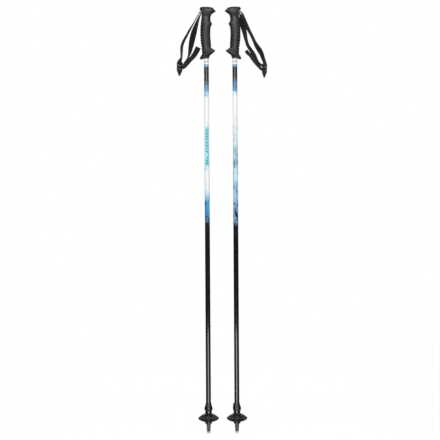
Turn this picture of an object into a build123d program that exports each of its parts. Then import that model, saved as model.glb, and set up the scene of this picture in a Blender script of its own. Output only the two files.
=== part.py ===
"""A pair of fixed-length alpine ski poles, standing on their tips side by side.

Each pole is worked out in its own frame: the tip's point is the origin, +Z runs up the
shaft, +X is the front of the grip and the wrist strap hangs on the -X side.  The second
pole is the first one turned half round, with its strap hanging in folds of its own.
All sizes are in millimetres.
"""

import os
from math import cos, radians, sin, tan

from build123d import *

# ---- the pair ----
pole_length = 1200.0  # tip to the top of the grip
pole_spacing = 80.0  # from one shaft's axis to the other's
press_gap = 0.05  # around parts that are pressed or glued together
turn_gap = 0.08  # around parts that turn on each other
soft_gap = 0.3  # between a loose part and its neighbour

# ---- shaft ----
shaft_d = 14.0
shaft_wall = 1.0
band_h = 16.5  # white size band below the grip
band_t = 0.15

# ---- tip, measured up from the ground ----
tip_d = 9.5
tip_h = 5.5
tip_cup_d = 7.2
tip_cup_depth = 1.8
shank_d = 5.2
shank_length = 16.5

# ---- ferrule: nose, basket seat and shaft socket ----
nose_d = 10.4
nose_h = 21.5
ring_seat_d = 13.2
ring_h = 5.0
ring_wall = 3.2
seat_wall = 1.4  # ferrule wall between the shaft and the basket
basket_hub_h = 24.4
socket_floor = 6.0  # solid plastic between the ring's shoulder and the shaft's end
neck_wall = 2.2
neck_h = 15.0

# ---- basket ----
basket_d = 58.0
hub_wall = 1.4
dish_t = 2.2
dish_drop = 13.0
rim_w = 2.8
rim_h = 4.5
basket_lobes = 8
rib_t = 2.2
tooth_h = 4.0
window_inner_d = 29.0
window_outer_d = 45.0
window_angle = 27.0
scallop_d = 16.0
scallop_depth = 1.6

# ---- collar over the ferrule's top ----
collar_d = 23.0
collar_h = 22.5
collar_lip = 0.9
collar_waist = 5.5  # straight length round the shaft at the collar's top
collar_skirt = 8.5  # how far the collar covers the ferrule's neck
wing_w = 7.0
ferrule_turn = {"left": 90.0, "right": 0.0}  # each ferrule is pressed on at its own angle

# ---- grip ----
grip_h = 145.5  # from the top of the cap to the heel
cap_h = 5.0
core_wall = 1.2
core_inset = 1.5  # from the heel up to the core's lip
shaft_stop = 34.0  # from the grip's top down to the shaft's end
block_front = 9.0
block_h = 12.0
block_end = 1.3  # wall behind the pin
block_wall = 2.8  # cheeks beside the strap's slot
plug_length = 14.0
plug_w = 14.0
plug_h = 3.5
guard_tilt = 27.0

# ---- wrist strap ----
strap_w = 20.0
strap_t = 1.6
strap_side_gap = 0.7
lap_length = 9.0  # webbing doubled and stitched above the buckle's fixed bar
pin_d = 3.5
pin_back = 12.4  # behind the shaft's axis
pin_drop = 13.2  # below the grip's top
pin_seat = 1.5  # how deep each end sits in the core
strap_rest = 40.0  # the strap's slope at the mouth, in degrees from straight down
strap_swing = 45.0  # how far it swings out from there

# ---- strap buckle ----
bar_d = 3.0
bar_spacing = 13.0
slot_h = 3.5  # between the lower bar and the tab
rail_w = 2.8
buckle_t = 4.2
tab_length = 18.0
tab_tip_w = 5.0

# ---- heights that follow ----
ring_z = tip_h + nose_h
seat_z = ring_z + ring_h
neck_z = seat_z + basket_hub_h + 2 * soft_gap
shaft_foot_z = seat_z + socket_floor
neck_top_z = neck_z + neck_h
collar_z = neck_top_z - collar_skirt
grip_z = pole_length - grip_h
shaft_top_z = pole_length - shaft_stop
cap_z = pole_length - cap_h
core_z = grip_z + core_inset
pin_z = pole_length - pin_drop
shaft_r = shaft_d / 2
seat_r = shaft_r + seat_wall
neck_r = shaft_r + neck_wall
core_r = shaft_r + core_wall
slot_half = strap_w / 2 + strap_side_gap
block_half = slot_half + block_wall
block_back = pin_back + pin_d / 2 + block_end
pin_length = 2 * (slot_half + pin_seat)


def along(shape, height):
    """The shape lifted by a height."""
    return Pos(0, 0, height) * shape


def ring(outer_r, inner_r, height, foot=0.0):
    """A plain tube standing on the given height."""
    body = Cylinder(outer_r, height, align=(Align.CENTER, Align.CENTER, Align.MIN))
    bore = Cylinder(inner_r, height, align=(Align.CENTER, Align.CENTER, Align.MIN))
    return along(body - bore, foot)


def turned(*points):
    """A solid of revolution from (radius, height) points."""
    outline = make_face(Polyline(*[(r, 0, z) for r, z in points], close=True))
    return revolve(outline, Axis.Z)


# ------------------------------------------------------------------ shaft
def make_shaft():
    """Drawn aluminium tube from the ferrule's socket up into the grip."""
    return ring(shaft_r, shaft_r - shaft_wall, shaft_top_z - shaft_foot_z, shaft_foot_z)


def make_size_band():
    """Printed film wrapped round the shaft just below the grip."""
    return ring(shaft_r + band_t, shaft_r, band_h, grip_z - soft_gap - band_h)


# ------------------------------------------------------------------ lower end
def make_tip():
    """Hardened steel cup with a shank that is moulded into the ferrule's nose."""
    cup = turned(
        (tip_cup_d / 2, 0), (tip_d / 2, 0), (tip_d / 2, tip_h), (shank_d / 2, tip_h),
        (shank_d / 2, tip_h + shank_length), (0, tip_h + shank_length), (0, tip_cup_depth),
    )
    return cup


def make_ferrule():
    """Moulded nose, basket seat and socket in one piece."""
    shank_r = shank_d / 2 + press_gap
    shank_top = tip_h + shank_length + press_gap
    socket_r = shaft_r + press_gap
    return turned(
        (shank_r, tip_h), (nose_d / 2, tip_h), (ring_seat_d / 2, ring_z),
        (ring_seat_d / 2, seat_z), (seat_r, seat_z), (seat_r, neck_z), (neck_r, neck_z),
        (neck_r, neck_top_z), (socket_r, neck_top_z), (socket_r, shaft_foot_z),
        (0, shaft_foot_z), (0, shank_top), (shank_r, shank_top),
    )


def make_basket_ring():
    """Snap ring that keeps the basket on its seat."""
    inner = ring_seat_d / 2 + press_gap
    outer = ring_seat_d / 2 + ring_wall
    body = ring(outer, inner, ring_h, ring_z)
    return chamfer(body.edges().filter_by(GeomType.CIRCLE).group_by(Axis.Z)[0].sort_by(
        lambda e: e.radius)[-1], min(1.2, ring_wall / 3))


def basket_rib(angle):
    """One gusset under the dish, ending in a tooth below the rim."""
    hub_r = seat_r + turn_gap + hub_wall / 2
    rim_r = basket_d / 2
    foot = seat_z + soft_gap
    rim_z = neck_z - soft_gap - dish_t - dish_drop
    reach = rim_r - hub_r
    outline = make_face(Polyline(
        (hub_r, 0, foot), (hub_r + 0.5 * reach, 0, foot + 1.6),
        (rim_r - 4.2, 0, rim_z - tooth_h), (rim_r - 1.6, 0, rim_z - tooth_h),
        (rim_r - 0.8, 0, rim_z + rim_h / 2), (hub_r, 0, rim_z + dish_drop), close=True))
    fin = extrude(outline, rib_t / 2, dir=(0, 1, 0), both=True)
    return Rot(0, 0, angle) * fin


def make_basket():
    """Snow basket: hub, dished web with windows, scalloped rim and gussets with teeth."""
    hub_in = seat_r + turn_gap
    hub_out = hub_in + hub_wall
    rim_r = basket_d / 2
    top = neck_z - soft_gap
    foot = seat_z + soft_gap
    rim_z = top - dish_t - dish_drop
    hub = ring(hub_out, hub_in, top - foot, foot)
    knee_r = hub_out + 0.62 * (rim_r - hub_out)
    knee_z = top - 0.5 * dish_drop
    dish = turned(
        (hub_in, top), (hub_out, top), (knee_r, knee_z), (rim_r - rim_w / 2, rim_z + rim_h - 1),
        (rim_r - rim_w, rim_z + 1), (knee_r - 0.8, knee_z - dish_t), (hub_in, top - dish_t),
    )
    rim = turned(
        (rim_r - rim_w, rim_z), (rim_r - 0.8, rim_z), (rim_r, rim_z + 1.2),
        (rim_r, rim_z + rim_h - 1.4), (rim_r - 1.0, rim_z + rim_h), (rim_r - rim_w, rim_z + rim_h),
    )
    web = dish + rim
    pitch = 360 / basket_lobes
    window_sector = turned(
        (window_inner_d / 2, foot), (window_outer_d / 2, foot),
        (window_outer_d / 2, top + 1), (window_inner_d / 2, top + 1),
    )
    far = basket_d
    half = radians(window_angle / 2)
    wedge_face = make_face(Polyline(
        (0, 0), (far, far * tan(half)), (far, -far * tan(half)), close=True))
    wedge = extrude(Pos(0, 0, foot) * wedge_face, top - foot + 2)
    window = window_sector & wedge
    scallop = along(Cylinder(scallop_d / 2, rim_h * 3), rim_z + rim_h / 2)
    for i in range(basket_lobes):
        web -= Rot(0, 0, (i + 0.5) * pitch) * window
        web -= Rot(0, 0, (i + 0.5) * pitch) * Pos(
            rim_r + scallop_d / 2 - scallop_depth, 0, 0) * scallop
    for i in range(basket_lobes):
        web += basket_rib(i * pitch)
    bore = along(Cylinder(hub_in, basket_d), top)
    return (web + hub) - bore


def make_collar():
    """Bell that closes the joint between the ferrule's neck and the shaft, with one wing."""
    outer = collar_d / 2
    top = collar_z + collar_h
    over_neck = neck_r + press_gap
    on_shaft = shaft_r + press_gap
    lip = on_shaft + collar_lip
    inside = [
        (on_shaft, top), (on_shaft, neck_top_z + press_gap), (over_neck, neck_top_z + press_gap),
        (over_neck, collar_z),
    ]
    bell = turned(
        (over_neck + 1.0, collar_z), (outer - 0.3, collar_z + 3.6), (outer, collar_z + 5.2),
        (outer - 0.2, collar_z + 9.0), (lip + 0.6, top - collar_waist), (lip, top), *inside,
    )
    wing_top = top - 1.6
    wing = make_face(Polyline(
        (0, 0, collar_z + 4.0), (outer - 0.1, 0, collar_z + 4.0), (outer - 0.1, 0, wing_top - 2.5),
        (outer - 1.6, 0, wing_top), (0, 0, wing_top), close=True))
    bore = turned((0, top + 1), (on_shaft, top + 1), *inside[1:], (0, collar_z))
    return bell + (extrude(wing, wing_w / 2, dir=(0, 1, 0), both=True) - bore)


# ------------------------------------------------------------------ grip
# Sections of the hand grip, each (below the top, back, front, width): the domed cap, the head
# with its beak, then the finger hollow and the knuckle ridge.
CAP = [
    (cap_h, -17.9, 21.0, 31.5), (0.5 * cap_h, -17.2, 18.6, 30.0), (0.2 * cap_h, -15.4, 14.0, 26.5),
    (0.0, -12.0, 8.0, 20.0),
]
HEAD = [
    CAP[0], (9.0, -18.2, 25.0, 32.0), (11.5, -18.2, 26.4, 32.0), (14.0, -17.4, 24.0, 31.4),
    (18.0, -15.8, 19.0, 30.0), (21.0, -13.4, 15.8, 28.6),
]
FINGERS = [
    (26.0, -12.8, 13.2, 25.6), (33.0, -13.7, 12.0, 25.0), (41.0, -14.7, 13.6, 25.0),
    (47.6, -15.6, 17.2, 25.4), (54.5, -16.3, 13.6, 25.8), (62.0, -16.6, 12.2, 26.2),
]
# The palm's sections are measured up from the heel, as the guard's are.
PALM = [
    (67.5, -16.8, 11.7, 26.4), (53.5, -16.2, 12.4, 26.0), (40.5, -14.6, 13.4, 25.2),
    (29.5, -12.9, 13.4, 24.6), (17.5, -12.2, 12.4, 23.6), (5.5, -11.6, 9.4, 22.4),
]
BODY = FINGERS + [(grip_h - height, *outline) for height, *outline in PALM]
# Tilted sections of the guard, each (x of centre, above the heel, half length, half width).
GUARD = [
    (1.0, 26.5, 12.6, 12.4), (2.5, 21.5, 16.2, 14.2), (2.8, 15.0, 21.4, 16.8),
    (3.2, 12.0, 24.0, 17.5), (2.0, 8.0, 21.4, 16.0), (-1.5, 3.5, 12.0, 11.5),
]


def oval(back, front, width, roundness):
    """A rounded outline between a back and a front face."""
    length = front - back
    radius = roundness * min(length, width) / 2
    return Pos((back + front) / 2, 0, 0) * RectangleRounded(length, width, radius)


def oval_stack(sections, roundness):
    """A solid through level sections."""
    faces = [
        Pos(0, 0, pole_length - drop) * oval(back, front, width, roundness)
        for drop, back, front, width in sections
    ]
    return loft(faces, ruled=True)


def make_guard():
    """Slanting flange round the foot of the grip: high at the front, low at the heel."""
    faces = []
    slope = Rot(0, -guard_tilt, 0)
    for x, height, half_length, half_width in GUARD:
        faces.append(Pos(x, 0, grip_z + height) * slope * Ellipse(half_length, half_width))
    return loft(faces, ruled=True)


def strap_pocket():
    """Mouth in the back of the head where the strap goes round its pin and swings out."""
    reach = 45.0
    clear_r = pin_d / 2 + soft_gap + strap_t + 3 * soft_gap
    inner = radians(strap_rest - 6)
    outer = radians(strap_rest + strap_swing + 5)

    def ray(angle, side):
        start = Vector(-pin_back, 0, pin_z) + Vector(cos(angle), 0, -sin(angle)) * (side * clear_r)
        return start, start + Vector(-sin(angle), 0, -cos(angle)) * reach

    low_start, low_end = ray(inner, 1)
    high_start, high_end = ray(outer, -1)
    middle = (inner + outer) / 2
    far = Vector(-pin_back, 0, pin_z) + Vector(-sin(middle), 0, -cos(middle)) * reach * 1.4
    fan = make_face(Polyline(low_start, low_end, far, high_end, high_start, close=True))
    round_pin = Pos(-pin_back, 0, pin_z) * Rot(90, 0, 0) * Cylinder(clear_r, 2 * slot_half)
    return extrude(fan, slot_half, dir=(0, 1, 0), both=True) + round_pin


def core_blank(skin=0.0):
    """The core's outer form, grown by a skin where the grip is moulded over it."""
    sleeve = Cylinder(core_r + skin, cap_z - core_z - 2, align=(Align.CENTER, Align.CENTER, Align.MIN))
    length = block_back + block_front + 2 * skin
    middle = (block_front - block_back) / 2
    block = extrude(
        Pos(middle, 0, cap_z - block_h - skin)
        * RectangleRounded(length, 2 * (block_half + skin), 4.0 + skin), block_h + skin)
    return along(sleeve, core_z - skin) + block


def plug_recess(gap):
    """The cap's plug, or with a gap the recess that takes it."""
    box = extrude(RectangleRounded(plug_length + 2 * gap, plug_w + 2 * gap, 3.0), -(plug_h + gap))
    return Pos(0.8, 0, cap_z) * box


def make_grip_core():
    """Hard inner tube that is pressed on the shaft; its head carries the strap's pin."""
    socket = Cylinder(shaft_r + press_gap, shaft_top_z + press_gap - core_z + 1,
                      align=(Align.CENTER, Align.CENTER, Align.MIN))
    pin_hole = Pos(-pin_back, 0, pin_z) * Rot(90, 0, 0) * Cylinder(
        pin_d / 2 + press_gap, 2 * block_half)
    core = core_blank() - along(socket, core_z - 1) - strap_pocket() - pin_hole
    return core - plug_recess(press_gap * 2)


def make_grip():
    """Soft hand grip with a beaked head, finger hollow and slanting guard."""
    body = oval_stack(BODY, 0.9)
    head = oval_stack(HEAD + BODY[:1], 0.48)
    grip = body + head + make_guard()
    below = Pos(0, 0, grip_z) * Box(120, 120, 60, align=(Align.CENTER, Align.CENTER, Align.MAX))
    shaft_hole = Cylinder(core_r + press_gap, core_inset + 2,
                          align=(Align.CENTER, Align.CENTER, Align.MIN))
    grip = grip - below - along(shaft_hole, grip_z - 1) - core_blank(press_gap)
    return grip - strap_pocket()


def make_grip_cap():
    """Domed cap pressed into the head over the strap's pin."""
    return oval_stack(CAP, 0.48) + plug_recess(0.0)


def make_strap_pin():
    """Steel pin across the head; the strap hangs on it."""
    return Pos(-pin_back, 0, pin_z) * Rot(90, 0, 0) * Cylinder(pin_d / 2, pin_length)


# ------------------------------------------------------------------ wrist strap
# A strap's route is a list of (x, y, below the grip's top, turn): turn is the way that the
# webbing's width points, 0 across the grip and 90 along it.  A buckle hangs at the loop's foot,
# at (x, y, below the top), with its own turn and lean.
LEFT_ROUTE = {
    "buckle": (-75.0, 0.0, 157.0), "turn": 28.0, "lean": 2.0,
    "outer": [
        (-18.6, 0.0, 15.6, 0), (-22.4, 0.0, 21.5, 0), (-28.6, 0.0, 33.0, 0), (-36.0, 0.0, 46.5, 3),
        (-46.0, 0.1, 63.3, 12), (-55.2, 0.2, 80.2, 15), (-64.2, 0.3, 97.1, 19), (-68.4, 0.3, 109.0, 20),
        (-69.6, 0.2, 122.0, 19), (-69.8, 0.1, 134.0, 15), (-70.6, 0.0, 144.0, 14),
    ],
    "inner": [
        (-15.2, 0.0, 20.2, 4), (-17.8, 0.0, 25.0, 8), (-20.6, 0.0, 31.0, 13), (-24.8, 0.0, 42.0, 23),
        (-29.2, 0.0, 55.0, 35), (-33.4, 0.0, 68.0, 48), (-37.2, 0.0, 82.0, 52), (-40.7, 0.0, 97.0, 49),
        (-43.4, 0.0, 111.0, 40), (-46.4, 0.0, 126.0, 27), (-49.0, -0.2, 135.5, 14),
        (-52.6, -0.6, 144.5, 8), (-58.0, -1.6, 154.2, 14), (-63.0, -2.2, 159.4, 22),
    ],
    "tail": [
        (-66.2, -7.0, 172.0, 32), (-59.2, -9.8, 164.6, 40), (-48.4, -13.2, 152.4, 44),
        (-36.0, -16.4, 139.5, 48), (-28.0, -18.4, 127.0, 48), (-21.8, -19.4, 115.0, 46),
    ],
}
RIGHT_ROUTE = {
    "buckle": (-84.0, 0.0, 163.5), "turn": -22.0, "lean": -2.0,
    "outer": [
        (-19.2, 0.0, 16.0, -4), (-22.8, 0.0, 21.5, -12), (-26.6, 0.0, 33.0, -20), (-32.4, 0.0, 48.0, -25),
        (-38.9, 0.0, 63.3, -26), (-47.7, -0.2, 80.2, -23), (-55.2, -0.4, 97.1, -24), (-63.0, -0.6, 112.0, -38),
        (-70.0, -0.5, 122.5, -45), (-75.4, -0.3, 132.0, -36), (-79.6, 0.0, 145.0, -30),
    ],
    "inner": [
        (-14.6, 0.0, 20.2, -6), (-17.2, 0.0, 25.6, -20), (-18.8, 0.0, 32.0, -32), (-21.2, 0.0, 43.0, -44),
        (-24.2, 0.0, 56.0, -47), (-27.8, 0.0, 70.0, -39), (-30.6, 0.0, 85.0, -30), (-33.5, 0.0, 98.0, -24),
        (-37.9, 0.0, 110.0, -26), (-46.0, 0.0, 122.5, -30), (-54.2, 0.4, 135.0, -29),
        (-60.4, 0.8, 147.5, -22), (-67.0, 1.2, 158.5, -18),
    ],
    "tail": [
        (-75.8, 4.2, 177.2, -20), (-70.2, 5.2, 171.5, -25), (-62.4, 6.8, 162.5, -29), (-54.4, 8.0, 151.8, -33),
        (-46.2, 9.0, 140.2, -33), (-37.4, 9.8, 131.6, -30), (-31.2, 10.2, 124.4, -27),
    ],
}


def buckle_frame(route):
    """The buckle's plane: x along its bars, y up towards the hand, z out of its face."""
    x, y, drop = route["buckle"]
    turn, lean = radians(route["turn"]), radians(route["lean"])
    bars = Vector(sin(turn), cos(turn), 0)
    flat_out = Vector(cos(turn), -sin(turn), 0)
    up = Vector(0, 0, 1) * cos(lean) + flat_out * sin(lean)
    return Plane(origin=(x, y, pole_length - drop), x_dir=bars, z_dir=bars.cross(up))


def on_buckle(route, spots):
    """Stations given by (out of the face, below the fixed bar) on the buckle."""
    frame = buckle_frame(route)
    return [(frame.from_local_coords(Vector(0, -down, out)), route["turn"]) for out, down in spots]


def hung(points):
    """Stations given by (x, y, below the top, turn)."""
    return [(Vector(x, y, pole_length - drop), turn) for x, y, drop, turn in points]


def ribbon(stations):
    """Flat webbing through stations of (centre, turn), faced span by span."""
    sections = []
    count = len(stations)
    for i, (centre, turn) in enumerate(stations):
        before = stations[max(i - 1, 0)][0]
        after = stations[min(i + 1, count - 1)][0]
        run = (after - before).normalized()
        wide = Vector(sin(radians(turn)), cos(radians(turn)), 0)
        wide = (wide - run * wide.dot(run)).normalized()
        sections.append(Plane(origin=centre, x_dir=wide, z_dir=run) * Rectangle(strap_w, strap_t))
    return loft(sections, ruled=True)


def loop_round(centre, radius, start, end, step=30.0):
    """Points on an arc in a plane of (across, up), from one angle to another."""
    count = max(2, round(abs(end - start) / step))
    angles = [radians(start + (end - start) * i / count) for i in range(count + 1)]
    return [(centre[0] + radius * cos(a), centre[1] + radius * sin(a)) for a in angles]


def make_strap(route):
    """Webbing from the buckle's fixed bar up over the pin and down again to the buckle."""
    eye_r = bar_d / 2 + soft_gap + strap_t / 2
    eye = [(out, -up) for out, up in loop_round((0, 0), eye_r, 0, -180, 45)]
    lap = strap_t / 2 + soft_gap / 2
    stitched = on_buckle(route, [(lap, -lap_length), (lap, -5.0)] + eye + [(-lap, -5.0)])
    pin_r = pin_d / 2 + soft_gap + strap_t / 2
    over_pin = [
        (Vector(x, 0, z), 0) for x, z in loop_round((-pin_back, pin_z), pin_r, 155, -40)
    ]
    into_slot = on_buckle(route, [(6.6, 2.7), (3.9, 3.8), (1.9, 5.4), (1.0, 7.3)])
    return ribbon(stitched + hung(route["outer"][::-1]) + over_pin + hung(route["inner"]) + into_slot)


def make_strap_tail(route):
    """The webbing's free end, held round the buckle's lower bar."""
    wrap_r = bar_d / 2 + soft_gap + strap_t / 2
    wrap = [(out, bar_spacing - up) for out, up in loop_round((0, 0), wrap_r, 120, 300, 36)]
    held = on_buckle(route, [(1.6, bar_spacing - 4.6)] + wrap + [(4.4, bar_spacing + 3.2)])
    return ribbon(held + hung(route["tail"]))


def make_buckle(route):
    """Ladder buckle: two rails, a fixed bar, a gripping bar and a pointed release tab."""
    frame = buckle_frame(route)
    opening = strap_w + 1.4
    width = opening + 2 * rail_w
    tab_top = -(bar_spacing + bar_d / 2 + slot_h)
    end = tab_top - tab_length
    rails = [
        Pos(side * (opening + rail_w) / 2, tab_top / 2, 0)
        * Box(rail_w, -tab_top + bar_d + 2, buckle_t) for side in (-1, 1)
    ]
    bars = [
        Pos(0, level, 0) * Rot(0, 90, 0) * Cylinder(bar_d / 2, opening + 2)
        for level in (0, -bar_spacing)
    ]
    tab = make_face(Polyline(
        (-width / 2, tab_top + 1), (width / 2, tab_top + 1), (width / 2 - 1, tab_top - 4),
        (tab_tip_w / 2 + 2.6, end + 6), (tab_tip_w / 2 - 1, end), (-tab_tip_w / 2 + 1, end),
        (-tab_tip_w / 2 - 2.6, end + 6), (-width / 2 + 1, tab_top - 4), close=True))
    body = extrude(tab, buckle_t / 2, both=True)
    for piece in rails + bars:
        body += piece
    return frame * body


# ------------------------------------------------------------------ the pair
def place(side, shape):
    """Stands a piece of one pole in its place."""
    if side == "left":
        return Pos(-pole_spacing / 2, 0, 0) * shape
    return Pos(pole_spacing / 2, 0, 0) * Rot(0, 0, 180) * shape


def make_pole(side, route):
    """Every piece of one pole, by name."""
    turn = Rot(0, 0, ferrule_turn[side])
    return {
        "shaft": make_shaft(),
        "size_band": make_size_band(),
        "tip": make_tip(),
        "ferrule": make_ferrule(),
        "basket_ring": make_basket_ring(),
        "basket": turn * make_basket(),
        "collar": turn * make_collar(),
        "grip_core": make_grip_core(),
        "grip": make_grip(),
        "grip_cap": make_grip_cap(),
        "strap_pin": make_strap_pin(),
        "strap": make_strap(route),
        "strap_tail": make_strap_tail(route),
        "buckle": make_buckle(route),
    }


os.makedirs("parts", exist_ok=True)
for pole_side, pole_route in (("left", LEFT_ROUTE), ("right", RIGHT_ROUTE)):
    for name, solid in make_pole(pole_side, pole_route).items():
        export_step(place(pole_side, solid), f"parts/{pole_side}_{name}.step")
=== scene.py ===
"""A pair of alpine ski poles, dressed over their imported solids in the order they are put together."""

from math import ceil, cos, pi, radians, sin

import bpy
import numpy as np
from mathutils import Matrix, Vector


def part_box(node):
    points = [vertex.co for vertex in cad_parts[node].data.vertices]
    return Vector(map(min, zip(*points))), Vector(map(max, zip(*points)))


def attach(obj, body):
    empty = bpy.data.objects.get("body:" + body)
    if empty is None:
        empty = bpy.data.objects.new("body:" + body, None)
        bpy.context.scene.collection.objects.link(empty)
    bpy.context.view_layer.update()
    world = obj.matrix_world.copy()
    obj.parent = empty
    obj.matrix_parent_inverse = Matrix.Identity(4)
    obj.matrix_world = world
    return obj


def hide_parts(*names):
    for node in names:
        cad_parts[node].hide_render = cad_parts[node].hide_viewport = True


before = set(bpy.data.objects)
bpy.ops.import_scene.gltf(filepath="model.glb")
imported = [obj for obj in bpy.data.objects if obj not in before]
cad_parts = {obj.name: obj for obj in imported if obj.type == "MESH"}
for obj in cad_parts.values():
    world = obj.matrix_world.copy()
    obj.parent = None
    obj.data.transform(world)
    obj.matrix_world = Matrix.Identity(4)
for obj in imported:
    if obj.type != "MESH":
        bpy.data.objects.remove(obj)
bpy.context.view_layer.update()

# ---------------------------------------------------------------- the studio
# A white paper floor in a white room.  Two soft boxes stand in front for the long lights on the tubes, one
# stands at each side, one hangs above and one stands behind.  None of this is part of the poles.
scene = bpy.context.scene
scene.view_settings.view_transform = "Standard"


def paint(code):
    """A colour such as 3a3a3c as linear red, green, blue and alpha."""
    parts = [int(code[i:i + 2], 16) / 255 for i in (0, 2, 4)]
    return [p / 12.92 if p <= 0.04045 else ((p + 0.055) / 1.055) ** 2.4 for p in parts] + [1.0]


def node(tree, kind, inputs=None, **settings):
    """Adds a shader node; an input is a value or another node's output."""
    made = tree.nodes.new("ShaderNode" + kind)
    for key, value in settings.items():
        setattr(made, key, value)
    for key, value in (inputs or {}).items():
        if isinstance(value, bpy.types.NodeSocket):
            tree.links.new(value, made.inputs[key])
        else:
            made.inputs[key].default_value = value
    return made


def maths(tree, operation, *values):
    """One sum on numbers or outputs."""
    return node(tree, "Math", dict(enumerate(values)), operation=operation).outputs[0]


def times(tree, first, *others):
    """The product of numbers or outputs."""
    for value in others:
        first = maths(tree, "MULTIPLY", first, value)
    return first


def plus(tree, first, *others):
    """The sum of numbers or outputs."""
    for value in others:
        first = maths(tree, "ADD", first, value)
    return first


def mixed(tree, mask, *colours):
    """The first colour, covered with the second where the mask is 1; each is a code or an output."""
    under, over = (paint(colour) if isinstance(colour, str) else colour for colour in colours)
    return node(tree, "Mix", {0: mask, 6: under, 7: over}, data_type="RGBA").outputs[2]


def share(tree, value, low, high, to_low=0.0, to_high=1.0):
    """A soft step of a value, from to_low at low to to_high at high."""
    made = node(tree, "MapRange", {"Value": value, "From Min": low, "From Max": high,
                                   "To Min": to_low, "To Max": to_high}, interpolation_type="SMOOTHSTEP")
    return made.outputs[0]


def world_light():
    """White where it is seen, nearly dark in gloss, and an even soft light elsewhere."""
    room = bpy.data.worlds.new("room")
    room.use_nodes = True
    scene.world = room
    tree = room.node_tree
    path = node(tree, "LightPath")
    seen = plus(tree, path.outputs["Is Camera Ray"], path.outputs["Is Transmission Ray"])
    gloss = path.outputs["Is Glossy Ray"]
    soft = maths(tree, "SUBTRACT", 1.0, plus(tree, seen, gloss))
    dim = plus(tree, times(tree, soft, world_soft), times(tree, gloss, world_gloss))
    tree.links.new(plus(tree, seen, dim), tree.nodes["Background"].inputs["Strength"])
    tree.nodes["Background"].inputs["Color"].default_value = paint("ffffff")


def lamp(name, place, aim, size, radiance):
    """A soft box; radiance is what a mirror would show of it."""
    light = bpy.data.lights.new(name, "AREA")
    light.shape = "RECTANGLE"
    light.size, light.size_y = size
    light.energy = radiance * pi * size[0] * size[1]
    box = bpy.data.objects.new(name, light)
    box.location = place
    box.rotation_euler = (Vector(aim) - Vector(place)).to_track_quat("-Z", "Y").to_euler()
    scene.collection.objects.link(box)


world_soft, world_gloss = 0.27, 0.03
world_light()
lamp("low_front", (0, -0.45, 0.135), (0, 0, 0.135), (0.38, 0.26), 6.0)
lamp("high_front", (0, -1.5, 1.40), (0, 0, 1.12), (0.36, 0.86), 13.0)
lamp("left_side", (-2.0, -1.9, 1.7), (0, 0, 0.8), (0.7, 1.6), 3.0)
lamp("right_side", (2.0, -1.9, 1.7), (0, 0, 0.8), (0.7, 1.6), 2.6)
lamp("above", (0, -0.2, 2.9), (0, 0, 0), (1.8, 1.8), 3.0)
lamp("behind", (0, 2.2, 1.6), (0, 0, 0.7), (2.0, 1.6), 3.0)


def floor_paper():
    """Matt paper: nearly white where it is seen, and dark in gloss except close to the poles."""
    material = bpy.data.materials.new("floor_paper")
    material.use_nodes = True
    tree = material.node_tree
    tree.nodes.clear()
    path = node(tree, "LightPath").outputs
    seen = plus(tree, path["Is Camera Ray"], path["Is Transmission Ray"])
    spot = node(tree, "TexCoord").outputs["Object"]
    reach = node(tree, "VectorMath", {0: spot}, operation="LENGTH").outputs["Value"]
    dark_from, dark_full = 0.12, 0.26
    far = times(tree, path["Is Glossy Ray"], share(tree, reach, dark_from, dark_full))
    white_from, white_full, near_white = 0.6, 4.0, 0.96
    white = share(tree, reach, white_from, white_full, near_white, 1.0)
    matt = node(tree, "BsdfDiffuse", {"Color": mixed(tree, far, "fafafa", "303030")}).outputs[0]
    glow = node(tree, "Emission", {"Color": paint("ffffff"), "Strength": 1.0}).outputs[0]
    look = node(tree, "MixShader", {0: times(tree, seen, white), 1: matt, 2: glow})
    node(tree, "OutputMaterial", {"Surface": look.outputs[0]})
    return material


floor_reach = 30.0
floor_corners = [(x * floor_reach, y * floor_reach, 0) for x, y in ((-1, -1), (1, -1), (1, 1), (-1, 1))]
floor_mesh = bpy.data.meshes.new("floor")
floor_mesh.from_pydata(floor_corners, [], [(0, 1, 2, 3)])
floor_mesh.materials.append(floor_paper())
floor = bpy.data.objects.new("floor", floor_mesh)
scene.collection.objects.link(floor)

camera = bpy.data.objects.new("camera", bpy.data.cameras.new("camera"))
camera_aside, camera_away, camera_up = -0.0044, 5.0, 0.6003
camera_lean = radians(0.36)
camera.location = (camera_aside, -camera_away, camera_up)
camera.rotation_euler = (radians(90), camera_lean, 0)
camera.data.lens = 145.3
camera.data.sensor_width = 36.0
scene.collection.objects.link(camera)
scene.camera = camera

# ---------------------------------------------------------------- the shafts
# Each shaft is a drawn aluminium tube, 14 mm across.  A printed film is burnt into its lacquer: black at
# both ends, and between them snow white, ice blue and deep blue in a marbled frost, under clear varnish.
shaft_low, shaft_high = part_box("right_shaft")
axis_x = (shaft_low.x + shaft_high.x) / 2  # from the middle of the pair to a pole's axis
SIDES = ("left", "right")


def group(name, inputs, outputs):
    """An empty shader group with named inputs and outputs: its tree, its inputs and its output node."""
    tree = bpy.data.node_groups.new(name, "ShaderNodeTree")
    for label, kind, value in inputs:
        socket = tree.interface.new_socket(label, in_out="INPUT", socket_type="NodeSocket" + kind)
        if value is not None:
            socket.default_value = value
    for label, kind in outputs:
        tree.interface.new_socket(label, in_out="OUTPUT", socket_type="NodeSocket" + kind)
    entry = tree.nodes.new("NodeGroupInput")
    leave = tree.nodes.new("NodeGroupOutput")
    return tree, entry.outputs, leave


def give(tree, taker, label, value):
    """Joins a value to a named socket of a shader or of a group's end."""
    tree.links.new(value, taker.inputs[label])


def placed(tree, name, **inputs):
    """Puts a shader group into a material with its own values; spaces in names are written as _."""
    made = tree.nodes.new("ShaderNodeGroup")
    made.node_tree = bpy.data.node_groups[name]
    for key, value in inputs.items():
        key = key.replace("_", " ")
        if isinstance(value, bpy.types.NodeSocket):
            tree.links.new(value, made.inputs[key])
        else:
            made.inputs[key].default_value = value
    return made.outputs


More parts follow.
